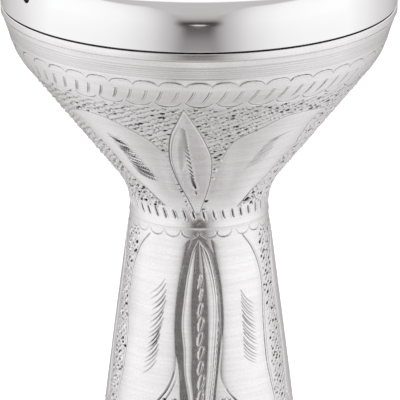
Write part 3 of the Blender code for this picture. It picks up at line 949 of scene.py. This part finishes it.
def satin_aluminium():
    """Turned and wire-brushed aluminium, duller in what the chisels cut and darker there with
    painted shade.
    """
    material, tree, shader = shader_of("satin_aluminium", (0.88, 0.865, 0.87), metallic=1.0,
                                       roughness=0.27)
    cut = node(tree, "ShaderNodeAttribute", attribute_name="cut").outputs["Fac"]
    ground = node(tree, "ShaderNodeAttribute", attribute_name="ground").outputs["Fac"]
    lines = stretched_noise(tree, 1.0, 3.0, (25.0, 25.0, 1500.0))
    patches = stretched_noise(tree, 26.0, 4.0)
    brushing = stretched_noise(tree, 1.0, 4.0, (14.0, 14.0, 420.0))
    grain = stretched_noise(tree, 900.0, 2.0)
    level = math_node(tree, "MULTIPLY", math_node(tree, "ADD", patches, brushing), 0.5)
    level = math_node(tree, "MULTIPLY_ADD", math_node(tree, "SUBTRACT", grain, 0.5), 0.5, level)
    level = ramp(tree, level, ((0.36, 0.0), (0.64, 1.0)))
    clean = mixed(tree, level, (0.82, 0.805, 0.81), (0.93, 0.92, 0.925))
    dull = math_node(tree, "MULTIPLY", ground, 0.2)
    worked = mixed(tree, dull, clean, (0.66, 0.64, 0.64))
    # Painted shade: the colour darkens towards near black as the cut layer deepens, for the shade
    # in cuts, pits, hollows, lines and furrows
    dark = ramp(tree, cut, ((0.0, 0.0), (0.45, 0.74), (0.95, 1.0)))
    tree.links.new(mixed(tree, dark, worked, (0.03, 0.027, 0.025)), shader.inputs["Base Color"])
    rough = math_node(tree, "MULTIPLY_ADD", lines, 0.1, 0.14)
    rougher = math_node(tree, "MULTIPLY_ADD", cut, 0.3, rough)
    tree.links.new(rougher, shader.inputs["Roughness"])
    bumped(tree, shader, lines, strength=0.35, distance_mm=0.12)
    return material


def raw_casting():
    """The unfinished inside of the sand casting."""
    material, tree, shader = shader_of("raw_casting", (0.5, 0.5, 0.5), metallic=1.0, roughness=0.55)
    grain = stretched_noise(tree, 420.0, 6.0)
    tree.links.new(mixed(tree, grain, (0.36, 0.36, 0.36), (0.58, 0.57, 0.56)),
                   shader.inputs["Base Color"])
    tree.links.new(math_node(tree, "MULTIPLY_ADD", grain, 0.25, 0.42), shader.inputs["Roughness"])
    bumped(tree, shader, grain, strength=0.6, distance_mm=0.4)
    return material


def polished_metal(name, colour, roughness, streaks):
    """Plated or polished metal with faint polishing haze."""
    material, tree, shader = shader_of(name, colour, metallic=1.0, roughness=roughness)
    haze = stretched_noise(tree, 60.0, 5.0, (1.0, 1.0, 6.0))
    tree.links.new(math_node(tree, "MULTIPLY_ADD", haze, streaks * 2, roughness - streaks),
                   shader.inputs["Roughness"])
    return material


def drum_film():
    """Smooth white polyester film, a little glossy and slightly translucent."""
    material, tree, shader = shader_of("drum_film", (0.86, 0.86, 0.84), metallic=0.0,
                                       roughness=0.28)
    shader.inputs["Subsurface Weight"].default_value = 0.15
    shader.inputs["Subsurface Radius"].default_value = (0.004, 0.004, 0.004)
    cloud = stretched_noise(tree, 18.0, 1.0)
    tree.links.new(mixed(tree, cloud, (0.84, 0.84, 0.82), (0.875, 0.875, 0.86)),
                   shader.inputs["Base Color"])
    tree.links.new(math_node(tree, "MULTIPLY_ADD", cloud, 0.04, 0.26), shader.inputs["Roughness"])
    bumped(tree, shader, stretched_noise(tree, 900.0, 3.0), strength=0.08, distance_mm=0.1)
    return material


# ---------------------------------------------------------------- the pieces

def place_at(azimuth_deg, radius):
    """The x and y of an azimuth and a radius."""
    angle = math.radians(azimuth_deg)
    return radius * math.sin(angle), -radius * math.cos(angle)


def spot_of(name):
    """The x and y of a CAD node's middle in millimetres."""
    low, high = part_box(name)
    middle = (low + high) / 2 / MM
    return middle.x, middle.y


def wall_inside(outline):
    """The plain inside of a stretch of wall, from its lower end up, as (radius, height)."""
    along = np.gradient(outline, axis=0)
    along /= np.linalg.norm(along, axis=1)[:, None]
    inner = outline + np.stack((along[:, 1], -along[:, 0]), axis=1) * WALL
    return inner[::-1]


def make_bowl(body, satin, casting):
    """The engraved bowl, from its top edge down to the seam in the neck."""
    spacing, columns = BOWL_GRID
    outline = resampled(body[body[:, 1] >= RIM_BOTTOM - SEAM], spacing)
    skin = Skin(outline, columns)
    bump = engrave_bowl(skin)
    inside = wall_inside(outline[::INSIDE_STEP])
    inside[0, 1] = outline[-1, 1]
    inside[-1, 1] = outline[0, 1]
    return skin_mesh("shell_bowl", skin, bump, inside, (satin, casting))


def make_tube(body, satin, casting):
    """The engraved tube, from the seam down to the rolled foot, whose face is satin too."""
    spacing, columns = TUBE_GRID
    outline = resampled(body[body[:, 1] <= RIM_BOTTOM - SEAM], spacing)
    skin = Skin(outline, columns)
    bump = engrave_tube(skin)
    bead_centre = FOOT_RADIUS - FOOT_BEAD
    foot = arc((bead_centre, FOOT_BEAD), FOOT_BEAD, 88, -90, 14)
    inside = wall_inside(outline[::INSIDE_STEP])
    inside[-1, 1] = outline[0, 1]
    inside = np.vstack((foot, [(bead_centre - FOOT_FACE, 0.0)], inside[1:]))
    mesh = skin_mesh("shell_tube", skin, bump, inside, (satin, casting))
    index = np.zeros(len(mesh.polygons), np.int32)
    index[(len(skin.along) + len(foot)) * columns:] = 1
    mesh.polygons.foreach_set("material_index", index)
    return mesh


def make_crown(satin):
    """The crown: collar, flange with its lip, and a drilled boss for each bolt."""
    edge = COLLAR_WALL / 2
    collar = HEAD_RADIUS - COLLAR_WALL
    top = (collar + edge, BEARING_EDGE - edge)
    joint = BODY_CORNERS[0][0] - JOINT_DEPTH
    seat = BODY_CORNERS[0][1] + CROWN_LIFT
    lip = LIP_RADIUS - LIP_EDGE
    outline = arc(top, edge, 90, 0, 8)
    outline += [(HEAD_RADIUS, FLANGE_TOP + 1.5), (HEAD_RADIUS + 1.5, FLANGE_TOP)]
    outline += arc((lip, FLANGE_TOP - LIP_EDGE), LIP_EDGE, 90, 0, 6)
    outline += arc((lip, FLANGE_TOP - LIP_HEIGHT + LIP_EDGE), LIP_EDGE, 0, -75, 6)
    outline += [(joint, seat + JOINT_HEIGHT), (joint, seat), (joint - CROWN_SEAT, seat)]
    outline += [(joint - CROWN_SLOPE, FLANGE_TOP - FLANGE), (collar, FLANGE_TOP - FLANGE)]
    outline += arc(top, edge, 180, 90, 8)[:-1]
    changes = []
    for name in BOLTS:
        spot = spot_of(name)
        low = FLANGE_TOP - SHELL_BOSS
        changes += [("UNION", rod(SHELL_BOSS_RADIUS, low, FLANGE_TOP - SUNK, 32, spot)),
                    ("DIFFERENCE", rod(TAPPED_RADIUS, low - OVERSHOOT, FLANGE_TOP + OVERSHOOT,
                                       32, spot))]
    return combined(turned("shell_crown", outline, 288, satin), changes)


def make_shell(satin, casting):
    """The casting, in three pieces that meet in turned grooves: bowl, tube and crown."""
    body = resampled(filleted(BODY_CORNERS, 40), 0.1)
    for name, mesh, nodes in (("shell_bowl", make_bowl(body, satin, casting), ("shell",)),
                              ("shell_tube", make_tube(body, satin, casting), ()),
                              ("shell_crown", make_crown(satin), ())):
        piece(name, mesh, "shell", nodes, "shell_cast_aluminium")


def rim_outline():
    """The rim's section: an elliptic shoulder, a slightly bulging wall, and its hollow."""
    height = RIM_TOP - RIM_BOTTOM
    inner = film_high.x + FILM_GAP
    rise = height - RIM_WALL
    outline = []
    lowest_angle = math.atan(rise / RIM_SHOULDER * math.tan(math.radians(RIM_LEAN)))
    for angle in np.linspace(math.pi / 2, lowest_angle, 40):
        outline.append((RIM_RADIUS - RIM_SHOULDER * (1.0 - math.cos(angle)),
                        RIM_WALL + rise * math.sin(angle)))
    low, high = RIM_EDGE - RIM_LAP, outline[-1][1]
    half = (high - low) / 2
    bulge = half * math.tan(math.radians(RIM_LEAN))
    widest = outline[-1][0] + bulge / 2
    for t in np.linspace(1.0, -1.0, 25)[1:]:
        outline.append((widest - bulge / 2 * t * t, (low + high) / 2 + half * t))
    outline += arc((outline[-1][0] - RIM_EDGE, low), RIM_EDGE, -15, -90, 5)
    outline += [(RIM_RADIUS - RIM_SKIRT, -RIM_LAP)]
    ceiling = height - RIM_WEB
    outline += arc((RIM_RADIUS - RIM_SKIRT - RIM_FILLET, ceiling - RIM_FILLET), RIM_FILLET,
                   0, 90, 4)
    press = hoop_high.z + HOOP_GAP - RIM_BOTTOM
    outline += [(inner + RIM_HUB, ceiling), (inner + RIM_HUB, press), (inner, press)]
    outline += arc((inner + RIM_INNER_EDGE, height - RIM_INNER_EDGE), RIM_INNER_EDGE, 180, 90, 12)
    flat = np.linspace(inner + RIM_INNER_EDGE, RIM_RADIUS - RIM_SHOULDER, 6)[1:-1]
    outline += [(radius, height) for radius in flat]
    return [(radius, z + RIM_BOTTOM) for radius, z in outline]


def make_rim(chrome):
    """The hollow clamping rim, with a counterbored boss for each bolt and the screw's hole."""
    changes = []
    for name in BOLTS:
        spot = spot_of(name)
        floor = RIM_TOP - COUNTERBORE
        low = RIM_TOP - RIM_BOSS
        changes += [("UNION", rod(RIM_BOSS_RADIUS, low, RIM_TOP - SUNK, 48, spot)),
                    ("DIFFERENCE", rod(COUNTERBORE_RADIUS, floor, RIM_TOP + OVERSHOOT, 48, spot)),
                    ("DIFFERENCE", rod(HOLE_RADIUS, low - OVERSHOOT, floor + SUNK, 32, spot))]
    drill = rod(GRUB_HOLE_RADIUS, -2 * OVERSHOOT, OVERSHOOT, 32)
    drill.location, drill.rotation_euler = grub_pose(RIM_RADIUS)
    changes.append(("DIFFERENCE", drill))
    mesh = combined(turned("rim", rim_outline(), 360, chrome), changes)
    item = piece("clamping_rim", mesh, "rim", ("rim",), "rim_chrome")
    even = item.modifiers.new("even shading", "WEIGHTED_NORMAL")
    even.keep_sharp = True


def make_head(film, hoop):
    """The drum head's film, with a rounded collar edge, and its hoop."""
    outer, low, high = film_high.x, film_low.z, film_high.z
    flat, bend = outer - FILM_FLAT, (outer - FILM_BEND, high - FILM_BEND)
    outline = [(0.0, high), (FILM_MIDDLE, high), (flat, high)]
    outline += arc(bend, FILM_BEND, 90, 0, 6) + [(outer, low), (outer - FILM, low)]
    outline += arc(bend, FILM_BEND - FILM, 0, 90, 6)
    outline += [(flat, high - FILM), (FILM_MIDDLE, high - FILM), (0.0, high - FILM)]
    piece("drum_head_film", sharpened(turned("drum_head_film", outline, 240, film, False), 40.0),
          "shell", ("head_film",), "head_film")
    inner, outer, low, high = film_high.x + HOOP_GAP, hoop_high.x, hoop_low.z, hoop_high.z
    outline = [(inner, high), (outer - 1.0, high), (outer, high - 1.0), (outer, low + 0.6),
               (outer - 0.6, low), (inner, low)]
    piece("head_hoop", sharpened(turned("head_hoop", outline, 240, hoop)), "shell",
          ("flesh_hoop",), "hoop_aluminium")


def threaded_shank(material, length, radius):
    """A closed shank with a right-hand thread on its lower half, hanging from its head."""
    sides, rows = 24, int(length * 6)
    depth = np.linspace(0.05, length, rows)
    turn = np.arange(sides) / sides
    phase = (depth[:, None] / THREAD_PITCH + turn[None, :]) % 1.0
    tooth = THREAD_DEPTH * np.abs(2 * phase - 1.0)
    threaded = np.clip((depth - 0.45 * length) / THREAD_PITCH, 0.0, 1.0)[:, None]
    point = np.clip((length - depth) / 1.2, 0.0, 1.0)[:, None]
    across = (radius - tooth * threaded) * (0.65 + 0.35 * point)
    angle = 2 * math.pi * turn
    rows_of_points = np.stack((across * np.sin(angle), -across * np.cos(angle),
                               np.repeat(-depth[:, None], sides, axis=1)), axis=-1) * MM
    return capped(mesh_from_rows("shank", rows_of_points, False, (material,)))


def joined(name, meshes):
    """One mesh of several, in the first one's material."""
    shape = bmesh.new()
    for mesh in meshes:
        shape.from_mesh(mesh)
    result = bpy.data.meshes.new(name)
    shape.to_mesh(result)
    shape.free()
    result.materials.append(meshes[0].materials[0])
    return sharpened(result)


def socketed(name, outline, flats, depth, top, material):
    """The mesh of a turned head or screw with a hexagonal socket sunk into its top."""
    blank = turned(name, outline, 64, material, closed=False)
    socket = rod(flats / 2 / math.cos(math.radians(30)), top - depth, top + depth, 6)
    return combined(blank, [("DIFFERENCE", socket)])


def washer_outline():
    """A washer's section, with its edges broken."""
    inner, outer, thick = WASHER
    return [(inner, thick - 0.15), (inner + 0.15, thick), (outer - 0.3, thick),
            (outer, thick - 0.25), (outer, 0.25), (outer - 0.3, 0.0), (inner + 0.15, 0.0),
            (inner, 0.15)]


def make_bolts(steel, washer_steel):
    """The six socket-head tuning bolts and their washers."""
    radius, height = BOLT_HEAD_RADIUS, BOLT_HEAD
    outline = [(0.0, height), (2.0, height)] + arc((radius - 0.7, height - 0.7), 0.7, 90, 0, 5)
    outline += [(radius, 0.3), (radius - 0.3, 0.0), (0.0, 0.0)]
    head = socketed("bolt_head", outline, flats=5.0, depth=3.2, top=height, material=steel)
    bolt = joined("tuning_bolt", (head, threaded_shank(steel, SHANK_LENGTH, SHANK_RADIUS)))
    washer = sharpened(turned("washer", washer_outline(), 48, washer_steel))
    for name in BOLTS:
        number = name.rsplit("_", 1)[1]
        x, y = spot_of(name)
        azimuth = math.atan2(x, -y)
        seat = Vector((x, y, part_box(name)[1].z / MM - height)) * MM
        piece(f"socket_bolt_{number}", bolt, f"bolt_{number}", (name,), "bolt_steel", seat,
              (0, 0, azimuth))
        under = Vector((seat.x, seat.y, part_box(f"washer_{number}")[0].z))
        piece(f"bolt_washer_{number}", washer, "rim", (f"washer_{number}",), "washer_steel",
              under)


def grub_pose(radius):
    """Where a radius meets the grub screw's axis, in metres, and the turn to face outwards."""
    x, y = place_at(GRUB_AZIMUTH, radius)
    place = Vector((x, y, RIM_BOTTOM + GRUB_ABOVE_EDGE)) * MM
    return place, (math.radians(90), 0, math.radians(GRUB_AZIMUTH))


def make_grub_screw(black):
    """A black socket screw that sits a little under the rim's surface."""
    outline = [(0.0, 0.0), (2.4, 0.0)] + arc((GRUB_RADIUS - 0.6, -0.6), 0.6, 90, 0, 3)
    outline += [(GRUB_RADIUS, 0.6 - GRUB_LENGTH), (GRUB_RADIUS - 0.6, -GRUB_LENGTH),
                (0.0, -GRUB_LENGTH)]
    mesh = socketed("grub_screw", outline, flats=4.0, depth=4.0, top=0.0, material=black)
    piece("grub_screw", mesh, "rim", ("rim_grub_screw",), "black_steel",
          *grub_pose(RIM_RADIUS - GRUB_RECESS))


# ---------------------------------------------------------------- studio and camera

# Levels of the light by direction, as (place, level). The places run from 0 straight ahead or
# behind to 1 straight out at the side, or from 0 straight down to 1 straight up.
WALLS = ((0.0, 0.1), (0.1, 0.12), (0.16, 0.28), (0.22, 0.42), (0.28, 0.51), (0.35, 0.6),
         (0.42, 0.7), (0.5, 0.8), (0.7, 0.93), (1.0, 1.0))
LOW_WALLS = ((0.0, 0.25), (0.1, 0.25), (0.19, 0.35), (0.25, 0.46), (0.35, 0.58), (0.45, 0.71),
             (0.58, 0.81), (0.73, 0.9), (1.0, 0.95))
OPENING = ((0.0, 0.6), (0.2, 0.6), (0.29, 0.33), (0.355, 0.25), (0.4, 0.13), (0.43, 0.08),
           (0.5, 0.05), (0.53, 0.2), (0.6, 0.42), (0.7, 0.5), (1.0, 0.52))
ROOF_EDGE = ((0.0, 0.0), (0.12, 0.19), (0.28, 0.45), (0.41, 0.69), (0.7, 0.7), (0.9, 0.45),
             (1.0, 0.2))            # the height where the tent's roof begins
ROOF = (0.53, 0.53, 0.53)
BACK = ((0.0, 1.0), (0.37, 0.85), (0.6, 0.7), (0.75, 0.62), (0.94, 0.42))
SHEET = ((0.0, 0.57), (0.03, 0.6), (0.07, 0.71), (0.12, 0.8), (0.25, 0.78))
WHITE = (1.0, 1.0, 1.0)
SLIT_HEIGHT = -0.105                # a bright slit in the opening, just under eye level
SLIT_HALF = (0.085, 0.02)           # half its width and height
WARMTH = (1.0, 1.055, 1.05)         # powers of red, green and blue


def tent_front(tree, across, upright, z):
    """The tent's front: side walls, a grey roof, and the opening with its bright slit."""
    around = mixed(tree, fade_in(tree, z, -0.3, 0.2), ramp(tree, across, LOW_WALLS),
                   ramp(tree, across, WALLS))
    above = fade_in(tree, z, ramp(tree, across, ROOF_EDGE), 0.07)
    around = mixed(tree, above, around, ROOF)
    level_with_neck = fade_in(tree, z, -0.16, 0.04)
    border = math_node(tree, "MULTIPLY_ADD", level_with_neck, 0.065, 0.09)
    beside = fade_in(tree, across, border, 0.09)
    front = mixed(tree, beside, ramp(tree, upright, OPENING), around)
    sideways = math_node(tree, "DIVIDE", across, SLIT_HALF[0])
    upwards = math_node(tree, "DIVIDE", math_node(tree, "SUBTRACT", z, SLIT_HEIGHT), SLIT_HALF[1])
    out = math_node(tree, "ADD", math_node(tree, "POWER", sideways, 2.0),
                    math_node(tree, "POWER", upwards, 2.0))
    return mixed(tree, fade_in(tree, out, 1.0, -0.5), front, WHITE)


def studio_light():
    """A white tent round the drum, with a narrow dark opening in front for the camera.

    Levels are by direction. They rise sideways from the opening, and a pale even sheet lies
    underneath.
    """
    world = bpy.data.worlds.new("studio")
    bpy.context.scene.world = world
    world.use_nodes = True
    tree = world.node_tree
    tree.nodes.clear()
    way = node(tree, "ShaderNodeSeparateXYZ")
    tree.links.new(node(tree, "ShaderNodeTexCoord").outputs["Generated"], way.inputs["Vector"])
    x, y, z = way.outputs
    upright = math_node(tree, "MULTIPLY_ADD", z, 0.5, 0.5)
    front = tent_front(tree, math_node(tree, "ABSOLUTE", x), upright, z)
    back = mixed(tree, fade_in(tree, z, 0.0, 0.2), ramp(tree, y, BACK), WHITE)
    colour = mixed(tree, fade_in(tree, y, 0.0, 1 / 6), front, back)
    colour = mixed(tree, fade_in(tree, z, -0.5, -0.35), colour, ramp(tree, upright, SHEET))
    warm = node(tree, "ShaderNodeCombineColor")
    for channel, power in zip(warm.inputs, WARMTH):
        tree.links.new(math_node(tree, "POWER", colour, power), channel)
    light = node(tree, "ShaderNodeBackground", Strength=1.07)
    tree.links.new(warm.outputs["Color"], light.inputs["Color"])
    out = node(tree, "ShaderNodeOutputWorld")
    tree.links.new(light.outputs["Background"], out.inputs["Surface"])


def floor():
    """A wide pale floor. Its own faint glow keeps it as bright as a lit white sweep."""
    material, _, shader = shader_of("white_sweep", (0.93, 0.93, 0.93), metallic=0.0,
                                    roughness=0.8)
    shader.inputs["Emission Color"].default_value = (*WHITE, 1.0)
    shader.inputs["Emission Strength"].default_value = 0.45
    half = 60.0
    mesh = bpy.data.meshes.new("floor")
    mesh.from_pydata([(-half, -half, 0), (half, -half, 0), (half, half, 0), (-half, half, 0)], [],
                     [(0, 1, 2, 3)])
    mesh.materials.append(material)
    item = bpy.data.objects.new("floor", mesh)
    bpy.context.scene.collection.objects.link(item)
    item.location.z = -0.0002       # just under the foot's face
    item.visible_glossy = False


CAMERA_PLACE = Vector((0.0007, -3.7, 1.422))
CAMERA_TARGET = Vector((0.0007, 0.0, 0.252))
CAMERA_LENS = 480.0


def camera():
    """A long lens that looks down at the neck and frames the rim from edge to edge."""
    data = bpy.data.cameras.new("camera")
    data.sensor_width = 36.0
    data.lens = CAMERA_LENS
    data.clip_end = 200.0
    item = bpy.data.objects.new("camera", data)
    bpy.context.scene.collection.objects.link(item)
    item.location = CAMERA_PLACE
    item.rotation_euler = (CAMERA_TARGET - CAMERA_PLACE).to_track_quat("-Z", "Y").to_euler()
    bpy.context.scene.camera = item


camera()
studio_light()
floor()
make_shell(satin_aluminium(), raw_casting())
make_rim(polished_metal("rim_chrome", (0.93, 0.93, 0.935), roughness=0.10, streaks=0.02))
make_head(drum_film(), polished_metal("hoop_aluminium", (0.72, 0.72, 0.73), roughness=0.38,
                                      streaks=0.06))
make_bolts(polished_metal("bolt_steel", (0.70, 0.70, 0.72), roughness=0.2, streaks=0.05),
           polished_metal("washer_steel", (0.64, 0.64, 0.65), roughness=0.3, streaks=0.06))
make_grub_screw(polished_metal("black_steel", (0.03, 0.03, 0.03), roughness=0.35, streaks=0.05))
bpy.context.scene.view_settings.view_transform = "Standard"
